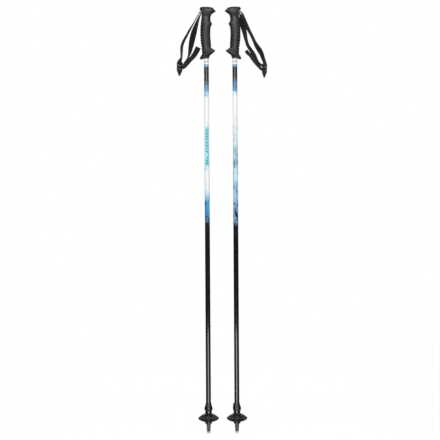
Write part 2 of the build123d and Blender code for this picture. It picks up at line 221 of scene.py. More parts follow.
def noise(tree, place, scale, detail=2.0, roughness=0.5, distortion=0.0):
    """A cloudy value between 0 and 1."""
    return node(tree, "TexNoise", {"Vector": place, "Scale": scale, "Detail": detail, "Roughness": roughness,
                                   "Distortion": distortion}).outputs["Fac"]


def between(tree, height, foot, foot_full, head_full, head):
    """1 between two heights, with a soft edge at each."""
    return times(tree, share(tree, height, foot, foot_full), share(tree, height, head, head_full))


def ramp(tree, value, stops, interpolation="LINEAR"):
    """A colour read along stops of (place, colour code)."""
    made = node(tree, "ValToRGB", {0: value})
    made.color_ramp.interpolation = interpolation
    bands = made.color_ramp.elements
    while len(bands) < len(stops):
        bands.new(0.5)
    for band, (place, code) in zip(bands, stops):
        band.position = place
        band.color = paint(code)
    return made.outputs["Color"]


def new_finish(name, **values):
    """A material with plain values on its own shader: its tree and the shader."""
    material = bpy.data.materials.new(name)
    material.use_nodes = True
    shader = material.node_tree.nodes["Principled BSDF"]
    for key, value in values.items():
        shader.inputs[key.replace("_", " ")].default_value = value
    return material, material.node_tree, shader


def relief(tree, shader, height, distance, strength=1.0):
    """Shows a height as bumps, distance metres deep where it is 1."""
    bump = node(tree, "Bump", {"Height": height, "Distance": distance, "Strength": strength})
    tree.links.new(bump.outputs[0], shader.inputs["Normal"])


def pole_space():
    """The place on either pole in its own frame, and its height and angle round the shaft."""
    tree, _, leave = group("pole space", [], [("Place", "Vector"), ("Height", "Float"), ("Turn", "Float")])
    here = node(tree, "SeparateXYZ", {0: node(tree, "TexCoord").outputs["Object"]})
    side = maths(tree, "SIGN", here.outputs["X"])
    x = maths(tree, "SUBTRACT", axis_x, maths(tree, "ABSOLUTE", here.outputs["X"]))
    y = times(tree, side, -1.0, here.outputs["Y"])
    place = node(tree, "CombineXYZ", {"X": x, "Y": y, "Z": here.outputs["Z"]})
    give(tree, leave, "Place", place.outputs[0])
    give(tree, leave, "Height", here.outputs["Z"])
    give(tree, leave, "Turn", maths(tree, "ARCTAN2", y, x))


def handling():
    """Fine scratches that run along a part, and small scuffs, as a mask."""
    tree, given, leave = group(
        "handling", [("Place", "Vector", None), ("Amount", "Float", 0.5)],
        [("Scratches", "Float"), ("Scuffs", "Float")])
    long_way = node(tree, "Mapping", {"Vector": given["Place"], "Scale": (900, 900, 35)})
    lines = noise(tree, long_way.outputs[0], 1.0, 4.0, 0.6)
    scratch = share(tree, lines, 0.63, 0.72)
    blotch = noise(tree, given["Place"], 55.0, 6.0, 0.68)
    scuff = share(tree, blotch, 0.55, 0.74)
    give(tree, leave, "Scratches", times(tree, scratch, given["Amount"]))
    give(tree, leave, "Scuffs", times(tree, scuff, given["Amount"]))


pole_space()
handling()

PRINT_TOP = [(0.945, "e6e9ea"), (0.954, "c0d8e6"), (0.961, "6398bd"), (0.975, "2f6590")]
PRINT_END = [
    (0.998, "0a0e14"), (1.0285, "080a0e"), (1.0305, "16232f"), (1.0325, "6a93ad"), (1.040, "6a93ad"),
]
NEAR_PRINT = [  # height above the tip, and the ground colour there on the side with the bars
    (0.540, "070708"), (0.580, "0d141b"), (0.598, "17303f"), (0.607, "144a72"), (0.616, "1673ab"),
    (0.640, "2289c6"), (0.653, "3f98c8"), (0.661, "7fa8c5"), (0.672, "b4c8da"), (0.690, "dde4e9"),
    (0.740, "e4e8ea"), (0.750, "9bdde9"), (0.858, "a8dfe9"), (0.868, "e2e6e8"),
] + PRINT_TOP + [(0.985, "101a25")] + PRINT_END
FAR_PRINT = [  # the same on the marbled side
    (0.540, "070708"), (0.578, "0a1119"), (0.592, "0d2339"), (0.606, "12325a"), (0.625, "18467a"),
    (0.636, "336aa3"), (0.645, "7aa4cb"), (0.668, "a3c6e4"), (0.690, "a6caea"), (0.704, "8cb4c6"),
    (0.715, "badce9"), (0.745, "c0dbe4"), (0.767, "aecbd8"), (0.790, "b6cddd"), (0.810, "d2dae2"),
    (0.853, "dfe3e7"),
] + PRINT_TOP + [(0.989, "27506f")] + PRINT_END


def printed_film():
    """The shaft's print: a ground that runs through the blues, frost, ripples, ice flecks and bars, with
    painted light and shade across the tube in the deep blue.
    """
    foot, top = 0.53, 1.05  # metres above the tip, like every height in the print
    stray = 0.060  # how far the marbling carries a colour up or down
    material, tree, shader = new_finish(
        "printed_film", Specular_IOR_Level=0.25, Coat_Weight=0.8, Coat_Roughness=0.10, Coat_IOR=1.5)
    here = placed(tree, "pole space")
    broad = noise(tree, here["Place"], 42.0, 5.0, 0.62, 0.9)
    push = times(tree, maths(tree, "SUBTRACT", broad, 0.5), stray)
    drift = plus(tree, here["Height"], push)
    level = share(tree, here["Height"], 1.018, 1.026)
    drift = node(tree, "Mix", {0: level, 2: drift, 3: here["Height"]}, data_type="FLOAT").outputs[0]
    along = node(tree, "MapRange", {"Value": drift, "From Min": foot, "From Max": top}).outputs[0]
    sides = [ramp(tree, along, [((z - foot) / (top - foot), code) for z, code in colours])
             for colours in (NEAR_PRINT, FAR_PRINT)]
    far_side = share(tree, plus(tree, maths(tree, "SINE", here["Turn"]),
                                times(tree, maths(tree, "SUBTRACT", broad, 0.5), 1.6)), -0.15, 0.35)
    ground = mixed(tree, far_side, *sides)
    in_blue = between(tree, drift, 0.600, 0.615, 0.650, 0.665)
    # painted light and shade in the deep blue: the side towards the other pole is lightened to 62c6df on the
    # side with the bars, as if lit, and the outer side is darkened to 134c70 as shade
    painted_lit_side = share(tree, maths(tree, "COSINE", here["Turn"]), 0.2, 0.95, 0.0, 0.5)
    painted_shaded_side = share(tree, maths(tree, "COSINE", here["Turn"]), -0.1, -0.8, 0.0, 0.85)
    near_side = times(tree, in_blue, maths(tree, "SUBTRACT", 1.0, far_side))
    ground = mixed(tree, times(tree, near_side, painted_lit_side), ground, "62c6df")
    ground = mixed(tree, times(tree, in_blue, painted_shaded_side), ground, "134c70")

    # marbled ripples: thin contour lines of a slow noise, drawn out along the shaft
    drawn = node(tree, "Mapping", {"Vector": here["Place"], "Scale": (1.0, 1.0, 0.42)})
    slow = noise(tree, drawn.outputs[0], 120.0, 3.0, 0.5, 1.6)
    contour = maths(tree, "PINGPONG", times(tree, slow, 9.0), 0.5)
    line = share(tree, contour, 0.11, 0.04)
    in_print = between(tree, drift, 0.598, 0.625, 0.972, 1.000)
    fade = times(tree, share(tree, broad, 0.46, 0.60), share(tree, far_side, 0.0, 1.0, 0.35, 1.0))
    ripple = times(tree, line, in_print, fade)
    coloured = mixed(tree, times(tree, ripple, 0.8), ground, "557f9a")

    # ice flecks: cells of pale cyan, thick in the middle of the print
    wander = node(tree, "TexNoise", {"Vector": here["Place"], "Scale": 330.0, "Detail": 3.0})
    bent = node(tree, "VectorMath", {0: wander.outputs["Color"], "Scale": 0.0045}, operation="SCALE")
    warped = node(tree, "VectorMath", {0: drawn.outputs[0], 1: bent.outputs[0]}, operation="ADD").outputs[0]
    cells = node(tree, "TexVoronoi", {"Vector": warped, "Scale": 240.0, "Randomness": 1.0}, feature="F1")
    cell_edge = node(tree, "TexVoronoi", {"Vector": warped, "Scale": 240.0, "Randomness": 1.0},
                     feature="DISTANCE_TO_EDGE")
    chosen = share(tree, node(tree, "SeparateColor", {0: cells.outputs["Color"]}).outputs[0], 0.62, 0.64)
    inside = share(tree, cell_edge.outputs["Distance"], 0.05, 0.11)
    middle = between(tree, drift, 0.66, 0.72, 0.83, 0.872)
    fleck = times(tree, chosen, inside, middle, far_side)
    coloured = mixed(tree, times(tree, fleck, 0.62), coloured, "7fbccb")

    # frost: bright crystal edges over the blues at both ends of the print
    needles = node(tree, "TexVoronoi", {"Vector": warped, "Scale": 620.0}, feature="DISTANCE_TO_EDGE")
    frost = maths(tree, "MAXIMUM", share(tree, cell_edge.outputs["Distance"], 0.075, 0.02),
                  times(tree, share(tree, needles.outputs["Distance"], 0.09, 0.03), 0.6))
    cold = plus(tree, between(tree, drift, 0.575, 0.60, 0.66, 0.70),
                between(tree, drift, 0.94, 0.955, 0.985, 1.012))
    rime = times(tree, frost, cold, share(tree, broad, 0.42, 0.58))
    on_blue = times(tree, near_side, 0.75)
    rime = times(tree, rime, maths(tree, "SUBTRACT", 1.0, on_blue))
    coloured = mixed(tree, times(tree, rime, 0.6), coloured, "a9d2e6")

    # long strokes on the far side: grey-blue over the pale part, black and pale blue over the deep blue
    stroke_map = node(tree, "Mapping", {"Vector": here["Place"], "Scale": (1.0, 1.0, 0.22)})
    strokes = noise(tree, stroke_map.outputs[0], 170.0, 4.0, 0.6, 0.8)
    pale_zone = between(tree, drift, 0.645, 0.68, 0.80, 0.830)
    deep_zone = between(tree, drift, 0.575, 0.595, 0.635, 0.655)
    for zone, low, high, amount, code in (
            (pale_zone, 0.50, 0.56, 0.8, "6f95a8"), (pale_zone, 0.56, 0.60, 0.85, "2c5a70"),
            (deep_zone, 0.49, 0.55, 0.95, "081220"), (deep_zone, 0.43, 0.38, 0.7, "8cc0e2")):
        stroke = times(tree, zone, far_side, share(tree, strokes, low, high))
        coloured = mixed(tree, times(tree, stroke, amount), coloured, code)

    # a ladder of slanting cyan bars up one side of the tube
    slant = plus(tree, here["Height"], times(tree, here["Turn"], 0.0050))
    half_step = 0.0042
    rung = maths(tree, "PINGPONG", slant, half_step)
    bar = share(tree, rung, 0.0015, 0.0020)
    around = maths(tree, "ABSOLUTE", plus(tree, here["Turn"], 1.45))
    ladder_foot, ladder_head, edge = 0.752, 0.861, 0.0015
    band = between(tree, here["Height"], ladder_foot, ladder_foot + edge, ladder_head - edge, ladder_head)
    band = times(tree, share(tree, around, 0.62, 0.56), band)
    worn = share(tree, broad, 0.33, 0.42)
    ladder = times(tree, bar, band, worn)
    coloured = mixed(tree, times(tree, ladder, 0.97), coloured, "23909f")

    # varnish: speckle in the colour, and the marks of use
    speck = noise(tree, here["Place"], 2600.0, 2.0)
    marks = placed(tree, "handling", Place=here["Place"], Amount=0.5)
    toned = mixed(tree, share(tree, speck, 0.35, 0.75, 0.0, 0.03), coloured, "9fb0ba")
    toned = mixed(tree, times(tree, marks["Scratches"], 0.05), toned, "8d9194")
    give(tree, shader, "Base Color", toned)
    rough = plus(tree, 0.24, times(tree, marks["Scuffs"], 0.20))
    give(tree, shader, "Roughness", rough)
    skin = plus(tree, times(tree, speck, 0.35), times(tree, marks["Scratches"], -0.8))
    relief(tree, shader, skin, 0.00001, 0.5)
    return material


def coat(node_name, material):
    """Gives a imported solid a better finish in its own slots."""
    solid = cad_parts[node_name]
    solid.data.materials.clear()
    solid.data.materials.append(material)


film = printed_film()
for side in SIDES:
    coat(f"{side}_shaft", film)

# ---------------------------------------------------------------- the size bands
# A white vinyl label is wrapped round each shaft below the grip.  Its edges are a little dirty, and the
# pole's length in centimetres is printed on it in plain figures on both sides.
band_low, band_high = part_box("left_size_band")
band_radius = (band_high.x - band_low.x) / 2
band_bottom, band_top = band_low.z, band_high.z


def vinyl():
    """White label film with dirt along both edges."""
    material, tree, shader = new_finish("vinyl", Roughness=0.3, Coat_Weight=0.35, Coat_Roughness=0.15)
    here = placed(tree, "pole space")
    dirt = noise(tree, here["Place"], 260.0, 6.0, 0.65)
    from_edge = maths(tree, "MINIMUM", maths(tree, "SUBTRACT", here["Height"], band_bottom),
                      maths(tree, "SUBTRACT", band_top, here["Height"]))
    rim = share(tree, plus(tree, from_edge, times(tree, dirt, -0.0016)), 0.0006, -0.0006)
    clean = mixed(tree, share(tree, dirt, 0.4, 0.8), "f0efee", "dcdad7")
    give(tree, shader, "Base Color", mixed(tree, times(tree, rim, 0.55), clean, "8d8a87"))
    give(tree, shader, "Roughness", plus(tree, 0.24, times(tree, dirt, 0.2)))
    relief(tree, shader, dirt, 0.00003, 0.5)
    return material


label = vinyl()
for side in SIDES:
    coat(f"{side}_size_band", label)

figure_height, figure_width, figure_gap, pen = 5.4, 3.1, 1.3, 0.8
ink_proud = 0.02
MM = 0.001


def arc(centre, radii, start, end, count=12):
    """Points on an oval arc between two angles in degrees."""
    turns = [radians(start + (end - start) * i / count) for i in range(count + 1)]
    return [(centre[0] + radii[0] * cos(turn), centre[1] + radii[1] * sin(turn)) for turn in turns]


FIGURES = {  # pen strokes of each figure in a unit box
    "1": [(0.22, 0.80), (0.58, 1.0), (0.58, 0.0)],
    "2": arc((0.5, 0.70), (0.48, 0.30), 165, -32) + [(0.02, 0.0), (1.0, 0.0)],
    "0": arc((0.5, 0.5), (0.5, 0.5), 90, 450, 30),
}


def stacked(rings):
    """A closed shell through rings of points, with a flat end at each side."""
    count = len(rings[0])
    verts = [v for ring in rings for v in ring]
    faces = []
    for r in range(len(rings) - 1):
        for i in range(count):
            j = (i + 1) % count
            faces.append((r * count + i, r * count + j, (r + 1) * count + j, (r + 1) * count + i))
    for ring, flip in ((0, True), (len(rings) - 1, False)):
        centre = len(verts)
        verts.append(sum(rings[ring], Vector()) / count)
        for i in range(count):
            j = (i + 1) % count
            a, b = ring * count + i, ring * count + j
            faces.append((b, a, centre) if flip else (a, b, centre))
    return verts, faces


def mesh_of(verts, faces):
    """A plain mesh in mm."""
    made = bpy.data.meshes.new("made")
    made.from_pydata([tuple(v) for v in verts], [], faces)
    made.update()
    return made


def joined(*shells):
    """Several shells of (points, faces) as one mesh."""
    verts, faces = [], []
    for more_verts, more_faces in shells:
        start = len(verts)
        verts += list(more_verts)
        faces += [tuple(start + i for i in face) for face in more_faces]
    return mesh_of(verts, faces)


def figure_shell(strokes, offset, middle, facing):
    """One figure as a thin curved line of ink on the label, in mm."""
    radius = band_radius / MM
    line = [Vector((offset + x * figure_width, middle + (y - 0.5) * figure_height)) for x, y in strokes]
    fine = [line[0]]
    for a, b in zip(line, line[1:]):
        steps = max(1, int((b - a).length / 0.35))
        fine += [a.lerp(b, (k + 1) / steps) for k in range(steps)]
    rings = []
    for i, point in enumerate(fine):
        run = (fine[min(i + 1, len(fine) - 1)] - fine[max(i - 1, 0)]).normalized()
        across = Vector((-run.y, run.x)) * pen / 2
        ring = []
        for spot, reach in ((point + across, radius + ink_proud), (point - across, radius + ink_proud),
                            (point - across, radius - ink_proud), (point + across, radius - ink_proud)):
            turn = facing + spot.x / radius
            ring.append(Vector((reach * cos(turn), reach * sin(turn), spot.y)))
        rings.append(ring)
    return stacked(rings)


POLE = {
    "left": Matrix.Translation((-axis_x, 0, 0)),
    "right": Matrix.Translation((axis_x, 0, 0)) @ Matrix.Rotation(pi, 4, "Z"),
}


def add_piece(name, side, mesh, material, body, stands_for):
    """Stands a mesh made in mm in a pole's own frame on that pole; it rides and stands for a node."""
    own = mesh.copy()
    own.transform(POLE[side] @ Matrix.Scale(MM, 4))
    own.materials.clear()
    own.materials.append(material)
    own.polygons.foreach_set("use_smooth", [True] * len(own.polygons))
    piece = bpy.data.objects.new(f"{side}_{name}", own)
    scene.collection.objects.link(piece)
    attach(piece, f"{side}_{body}")
    if stands_for:
        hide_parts(f"{side}_{stands_for}")
    return piece


def ink():
    """Black screen ink, a little uneven in tone."""
    material, tree, shader = new_finish("ink", Specular_IOR_Level=0.3)
    here = placed(tree, "pole space")
    thin = noise(tree, here["Place"], 1500.0, 4.0)
    give(tree, shader, "Base Color", mixed(tree, share(tree, thin, 0.5, 0.8), "17171a", "4a4a4d"))
    give(tree, shader, "Roughness", plus(tree, 0.35, times(tree, thin, 0.25)))
    return material


black_ink = ink()
length_mark = f"{round((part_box('left_grip_cap')[1].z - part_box('left_tip')[0].z) * 100)}"
figure_step = figure_width + figure_gap
mark_start = -(len(length_mark) * figure_step - figure_gap) / 2
mark_drop = 0.6  # below the label's middle
mark_middle = (band_bottom + band_top) / 2 / MM - mark_drop
figures = joined(*[
    figure_shell(FIGURES[digit], mark_start + i * figure_step, mark_middle, facing)
    for facing in (-pi / 2, pi / 2) for i, digit in enumerate(length_mark)])
for side in SIDES:
    add_piece("size_figures", side, figures, black_ink, "pole", None)

# ---------------------------------------------------------------- tips, ferrules and snap rings
# A hardened steel cup is moulded into the black plastic ferrule, and above the nose a snap ring holds the
# basket on its seat.  The plastic is scuffed grey where it meets the ground.


def grain():
    """Moulded plastic or rubber: a fine matt grain, a slow mottle and patches of dust."""
    tree, given, leave = group(
        "moulded grain", [("Place", "Vector", None), ("Scale", "Float", 900.0)],
        [("Height", "Float"), ("Mottle", "Float"), ("Dust", "Float")])
    pores = noise(tree, given["Place"], given["Scale"], 4.0, 0.6)
    cells = node(tree, "TexVoronoi", {"Vector": given["Place"], "Scale": given["Scale"]},
                 feature="SMOOTH_F1")
    mottle = noise(tree, given["Place"], 48.0, 5.0, 0.6)
    dust = noise(tree, given["Place"], 190.0, 7.0, 0.72)
    give(tree, leave, "Height", plus(tree, pores, cells.outputs["Distance"]))
    give(tree, leave, "Mottle", mottle)
    give(tree, leave, "Dust", share(tree, dust, 0.52, 0.70))


grain()


def plastic(name, dark, light, roughness, scale=1400.0, depth=0.00004, dust=0.12, low_wear=None, **values):
    """A moulded finish from two near shades; low_wear adds grey scuffs below that height."""
    material, tree, shader = new_finish(name, **values)
    here = placed(tree, "pole space")
    skin = placed(tree, "moulded grain", Place=here["Place"], Scale=scale)
    tone = mixed(tree, share(tree, skin["Mottle"], 0.35, 0.65), dark, light)
    tone = mixed(tree, times(tree, skin["Dust"], dust), tone, "8b8884")
    marks = placed(tree, "handling", Place=here["Place"], Amount=0.6)
    worn = times(tree, marks["Scratches"], 0.25)
    if low_wear:
        near = share(tree, here["Height"], low_wear, low_wear * 0.3)
        worn = maths(tree, "MAXIMUM", worn, times(tree, near, marks["Scuffs"]))
    give(tree, shader, "Base Color", mixed(tree, worn, tone, "6a6866"))
    rough = plus(tree, roughness - 0.06, times(tree, skin["Mottle"], 0.14))
    give(tree, shader, "Roughness", plus(tree, rough, times(tree, worn, 0.12)))
    relief(tree, shader, skin["Height"], depth, 0.7)
    return material


def steel(name, shade, roughness):
    """Turned steel: fine rings round the axis and dull scuffs."""
    material, tree, shader = new_finish(name, Metallic=1.0)
    here = placed(tree, "pole space")
    marks = placed(tree, "handling", Place=here["Place"], Amount=0.8)
    turned = node(tree, "TexWave", {"Vector": here["Place"], "Scale": 900.0, "Distortion": 0.6,
                                    "Detail": 2.0}, wave_type="BANDS", bands_direction="Z")
    tone = mixed(tree, times(tree, marks["Scuffs"], 0.6), shade, "77736d")
    give(tree, shader, "Base Color", tone)
    give(tree, shader, "Roughness", plus(tree, roughness, times(tree, marks["Scuffs"], 0.25)))
    relief(tree, shader, plus(tree, turned.outputs["Fac"], marks["Scratches"]), 0.00002, 0.5)
    return material


hard_plastic = plastic("ferrule_plastic", "040405", "08080a", 0.22, depth=0.000015, low_wear=0.022,
                       dust=0.03, Specular_IOR_Level=0.55, Coat_Weight=0.8, Coat_Roughness=0.16)
tip_steel = steel("tip_steel", "c9c7c3", 0.24)
for side in SIDES:
    coat(f"{side}_tip", tip_steel)
    coat(f"{side}_basket_ring", hard_plastic)
    coat(f"{side}_ferrule", hard_plastic)

# ---------------------------------------------------------------- snow baskets
# Each basket is one moulding of hard, matt plastic: a hub that turns on the seat, a dished web with eight
# windows, gussets that end in teeth below the scalloped rim.  All its edges are softly rounded.


def evaluated(piece):
    """The piece's mesh with its modifiers worked in."""
    graph = bpy.context.evaluated_depsgraph_get()
    graph.update()
    return bpy.data.meshes.new_from_object(piece.evaluated_get(graph))


def softened(mesh, voxel, rounds, cutters=(), again=None):
    """A mesh in mm fused into one skin, cut by closed meshes, and rounded at every edge."""
    work = bpy.data.objects.new("work", mesh)
    scene.collection.objects.link(work)
    tools = []
    first = work.modifiers.new("fuse", "REMESH")
    first.mode = "VOXEL"
    first.voxel_size = voxel
    for cutter in cutters:
        tool = bpy.data.objects.new("tool", cutter)
        scene.collection.objects.link(tool)
        tools.append(tool)
        cut = work.modifiers.new("cut", "BOOLEAN")
        cut.operation = "DIFFERENCE"
        cut.solver = "EXACT"
        cut.object = tool
    if again:
        second = work.modifiers.new("refine", "REMESH")
        second.mode = "VOXEL"
        second.voxel_size = again
    smooth = work.modifiers.new("round", "SMOOTH")
    smooth.factor = 0.5
    smooth.iterations = rounds
    made = evaluated(work)
    for extra in [work] + tools:
        bpy.data.objects.remove(extra)
    return made


def cad_copy(node_name, side):
    """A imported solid's mesh, copied into its pole's own frame in mm."""
    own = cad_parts[node_name].data.copy()
    own.transform((POLE[side] @ Matrix.Scale(MM, 4)).inverted())
    return own


basket_plastic = plastic("basket_plastic", "0b0b0c", "151516", 0.46, scale=1100.0, depth=0.00006, dust=0.07,
                         Specular_IOR_Level=0.25)
for side in SIDES:
    moulding = softened(cad_copy(f"{side}_basket", side), voxel=0.42, rounds=4)
    add_piece("snow_basket", side, moulding, basket_plastic, "basket", "basket")

# ---------------------------------------------------------------- collars
# The collar is a moulded bell that is slid down over the ferrule's neck and closes its joint with the
# shaft.  One flat wing stands out from it.
collar_plastic = plastic("collar_plastic", "060607", "0b0b0c", 0.27, dust=0.03, Specular_IOR_Level=0.5)
for side in SIDES:
    bell = softened(cad_copy(f"{side}_collar", side), voxel=0.30, rounds=4)
    add_piece("neck_collar", side, bell, collar_plastic, "pole", "collar")

# ---------------------------------------------------------------- grip cores and strap pins
# A hard core is pressed on the shaft's end.  Its head shows only inside the strap's mouth, with the steel
# pin across it; its foot shows as a thin lip under the heel.
core_plastic = plastic("core_plastic", "1b1b1d", "26262a", 0.45, Specular_IOR_Level=0.4)
pin_steel = steel("pin_steel", "b4b2ae", 0.3)
for side in SIDES:
    coat(f"{side}_grip_core", core_plastic)
    coat(f"{side}_strap_pin", pin_steel)

# ---------------------------------------------------------------- grips
# The hand grip is soft rubbery plastic moulded over the core: a beaked head, a hollow for the first
# finger, ribbed sides, knuckle ridges down the back and a slanting flange over the shaft.
grip_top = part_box("left_grip_cap")[1].z / MM
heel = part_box("left_grip")[0].z / MM
pin_low, pin_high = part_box("left_strap_pin")
pin_x = (pin_low.x + pin_high.x) / 2 / MM + axis_x / MM
pin_z = (pin_low.z + pin_high.z) / 2 / MM

HEAD = [  # below the top: back, front, width
    (5.0, -17.9, 21.4, 31.5), (9.0, -18.2, 25.6, 32.0), (11.5, -18.2, 27.6, 32.0),
    (14.0, -17.4, 24.6, 31.4), (18.0, -15.8, 19.2, 30.0), (21.0, -13.4, 15.8, 28.6),
    (27.0, -12.6, 13.0, 25.6), (34.0, -12.6, 12.0, 24.6),
]
BODY = [  # the same, from inside the head down into the flange
    (20.0, -12.2, 14.6, 26.4), (26.0, -12.8, 13.2, 25.6), (33.0, -13.7, 12.0, 25.0),
    (41.0, -14.7, 13.6, 25.0), (45.2, -15.3, 16.4, 25.2), (47.6, -15.6, 17.2, 25.4),
    (50.0, -15.9, 16.0, 25.6), (54.5, -16.3, 13.6, 25.8), (62.0, -16.6, 12.2, 26.2),
    (78.0, -16.8, 11.7, 26.4), (92.0, -16.2, 12.4, 26.0), (105.0, -14.6, 13.4, 25.2),
    (116.0, -12.9, 13.4, 24.6), (128.0, -12.2, 12.4, 23.6), (140.0, -11.6, 9.4, 22.4),
]
FLANGE = [  # above the heel: centre, half length, half width, each on a slope
    (26.5, 1.0, 12.6, 12.4), (21.5, 2.5, 16.2, 14.2), (15.0, 2.9, 21.8, 16.8), (12.0, 3.4, 24.9, 17.7),
    (8.0, 2.0, 21.4, 16.0), (3.5, -1.5, 12.0, 11.5),
]
FLANGE_SLOPE = radians(27)


def eased(stations, spacing):
    """Sections at even steps between stations whose first value grows, smooth and without overshoot."""
    table = np.array(stations, float)
    at = table[:, 0]
    run = np.diff(at)
    slope = np.diff(table, axis=0) / run[:, None]
    lean = np.zeros_like(table)
    lean[0], lean[-1] = slope[0], slope[-1]
    for i in range(1, len(at) - 1):
        a, b = slope[i - 1], slope[i]
        same = (a * b) > 0
        w1, w2 = 2 * run[i] + run[i - 1], run[i] + 2 * run[i - 1]
        safe_a, safe_b = np.where(same, a, 1.0), np.where(same, b, 1.0)
        lean[i] = np.where(same, (w1 + w2) / (w1 / safe_a + w2 / safe_b), 0.0)
    steps = np.linspace(at[0], at[-1], int(ceil((at[-1] - at[0]) / spacing)) + 1)
    made = []
    for value in steps:
        i = min(int(np.searchsorted(at, value, side="right")) - 1, len(at) - 2)
        t = (value - at[i]) / run[i]
        h = run[i]
        made.append((2 * t**3 - 3 * t**2 + 1) * table[i] + (t**3 - 2 * t**2 + t) * h * lean[i]
                    + (3 * t**2 - 2 * t**3) * table[i + 1] + (t**3 - t**2) * h * lean[i + 1])
    return made


def outline(back, front, width, squareness, points=96):
    """A rounded outline between a back and a front face: 2 is an oval, more is squarer."""
    middle, half_long, half_wide = (back + front) / 2, (front - back) / 2, width / 2
    made = []
    for i in range(points):
        c, s = cos(2 * pi * i / points), sin(2 * pi * i / points)
        reach = (abs(c) ** squareness + abs(s) ** squareness) ** (-1 / squareness)
        made.append(Vector((middle + half_long * c * reach, half_wide * s * reach, 0)))
    return made


def level_stack(stations, squareness):
    """A shell through level sections given below the grip's top, built upwards."""
    rings = []
    for drop, back, front, width in reversed(eased(stations, 0.8)):
        lift = Vector((0, 0, grip_top - drop))
        rings.append([p + lift for p in outline(back, front, width, squareness)])
    return stacked(rings)


def flange_stack():
    """The slanting flange: high at the front, low at the heel."""
    tilt = Matrix.Rotation(-FLANGE_SLOPE, 3, "Y")
    rings = []
    for height, x, half_long, half_wide in eased(sorted(FLANGE), 0.7):
        centre = Vector((x, 0, heel + height))
        rings.append([centre + tilt @ p for p in outline(-half_long, half_long, 2 * half_wide, 2.0)])
    return stacked(rings)


def prism(points, half):
    """A closed slab: a flat outline of (x, z) carried across the grip."""
    count = len(points)
    verts = [(x, -half, z) for x, z in points] + [(x, half, z) for x, z in points]
    faces = [tuple(range(count)), tuple(range(2 * count - 1, count - 1, -1))]
    faces += [(i, i + count, (i + 1) % count + count, (i + 1) % count) for i in range(count)]
    return verts, faces


def strap_mouth(clear=4.95, reach=34.0, half=11.1):
    """The opening in the back of the head: round the pin, and fanned out to where the strap swings."""
    inner, outer = radians(34), radians(90)
    points = [(pin_x + clear * cos(a), pin_z + clear * sin(a))
              for a in np.linspace(-inner, pi / 2, 13)]
    points.append((pin_x - reach * sin(outer), pin_z + clear))
    middle, corner = (inner + outer) / 2, 1.4 * reach
    points.append((pin_x - corner * sin(middle), pin_z - corner * cos(middle)))
    points.append((pin_x + clear * cos(inner) - reach * sin(inner),
                   pin_z - clear * sin(inner) - reach * cos(inner)))
    return mesh_of(*prism(points, half))


def smoothstep(value, low, high):
    """0 at low, 1 at high, eased between."""
    t = np.clip((value - low) / (high - low), 0, 1)
    return t * t * (3 - 2 * t)


def shaped(mesh, carve):
    """Moves each point along its normal by what carve gives for (points, normals), in mm."""
    count = len(mesh.vertices)
    points, normals = np.zeros(count * 3, np.float32), np.zeros(count * 3, np.float32)
    mesh.vertices.foreach_get("co", points)
    mesh.vertex_normals.foreach_get("vector", normals)
    points, normals = points.reshape(-1, 3), normals.reshape(-1, 3)
    points = points + normals * carve(points, normals)[:, None]
    mesh.vertices.foreach_set("co", points.astype(np.float32).ravel())
    mesh.update()
    return mesh


def hand_relief(points, normals):
    """Knuckle ridges down the back, fine ribs on both flanks, flutes on the flange and a moulding seam."""
    x, y = points[:, 0], points[:, 1]
    below = grip_top - points[:, 2]
    over = points[:, 2] - heel
    # knuckle ridges: broad pads between narrow grooves
    pitch, first_pad, pad_height, sunk = 7.9, 50.4, 1.55, 1.25
    back = smoothstep(-normals[:, 0], 0.02, 0.50) * smoothstep(below, 46, 50) * smoothstep(below, 121, 117)
    wave = 0.5 + 0.5 * np.cos(2 * pi * (below - first_pad) / pitch)
    ridges = back * (pad_height * (1 - wave ** 3) - sunk)
    # fine ribs on the flanks
    rib_pitch, rib_height, rib_bow = 2.6, 0.16, 0.012
    flank = smoothstep(np.abs(normals[:, 1]), 0.45, 0.8)
    flank = flank * smoothstep(below, 40, 46) * smoothstep(below, 122, 116)
    ribs = flank * rib_height * np.cos(2 * pi * (below + rib_bow * x * x) / rib_pitch)
    # flutes round the flange
    flute_count, flute_height, flange_middle = 24, 0.28, 3
    slope_height = over - np.tan(FLANGE_SLOPE) * x
    flange = smoothstep(np.hypot(x, y), 13.6, 16.0) * smoothstep(slope_height, 1.5, 6.0) * smoothstep(
        over, 34, 28) * smoothstep(normals[:, 2], -0.35, 0.1)
    flutes = flange * flute_height * np.cos(flute_count * np.arctan2(y, x - flange_middle))
    # the moulding seam
    seam_height, seam_width = 0.16, 0.45
    seam = seam_height * np.exp(-(y / seam_width) ** 2)
    seam = seam * smoothstep(np.abs(normals[:, 0]), 0.5, 0.8) * smoothstep(x, 2, 6)
    return ridges + ribs + flutes + seam


def lathe(profile, rounding=0.5, segments=96):
    """Points of a closed profile of (radius, height) in mm, corners rounded, turned round the axis."""
    corners = [Vector(p) for p in profile]
    line = []
    for i, here in enumerate(corners):
        before, after = corners[i - 1], corners[(i + 1) % len(corners)]
        back, on = before - here, after - here
        if here.x < 0.01 or back.length < 1e-6 or on.length < 1e-6:
            line.append(here)
            continue
        reach = min(rounding, back.length * 0.45, on.length * 0.45)
        start, end = here + back.normalized() * reach, here + on.normalized() * reach
        for step in range(5):
            t = step / 4
            line.append(start * (1 - t) ** 2 + here * 2 * t * (1 - t) + end * t ** 2)
    rings = [[(p.x * cos(2 * pi * s / segments), p.x * sin(2 * pi * s / segments), p.y)
              for s in range(segments)] for p in line]
    verts = [v for ring in rings for v in ring]
    faces = []
    for r in range(len(rings)):
        after = (r + 1) % len(rings)
        for s in range(segments):
            t = (s + 1) % segments
            faces.append((r * segments + s, r * segments + t, after * segments + t, after * segments + s))
    return verts, faces


def heel_hole():
    """The recess under the heel where the shaft and the core's lip go in."""
    below, depth, radius = 4.0, 1.5, 8.6
    low, high = heel - below, heel + depth
    return mesh_of(*lathe([(0, low), (radius, low), (radius, high), (0, high)], 0.05))


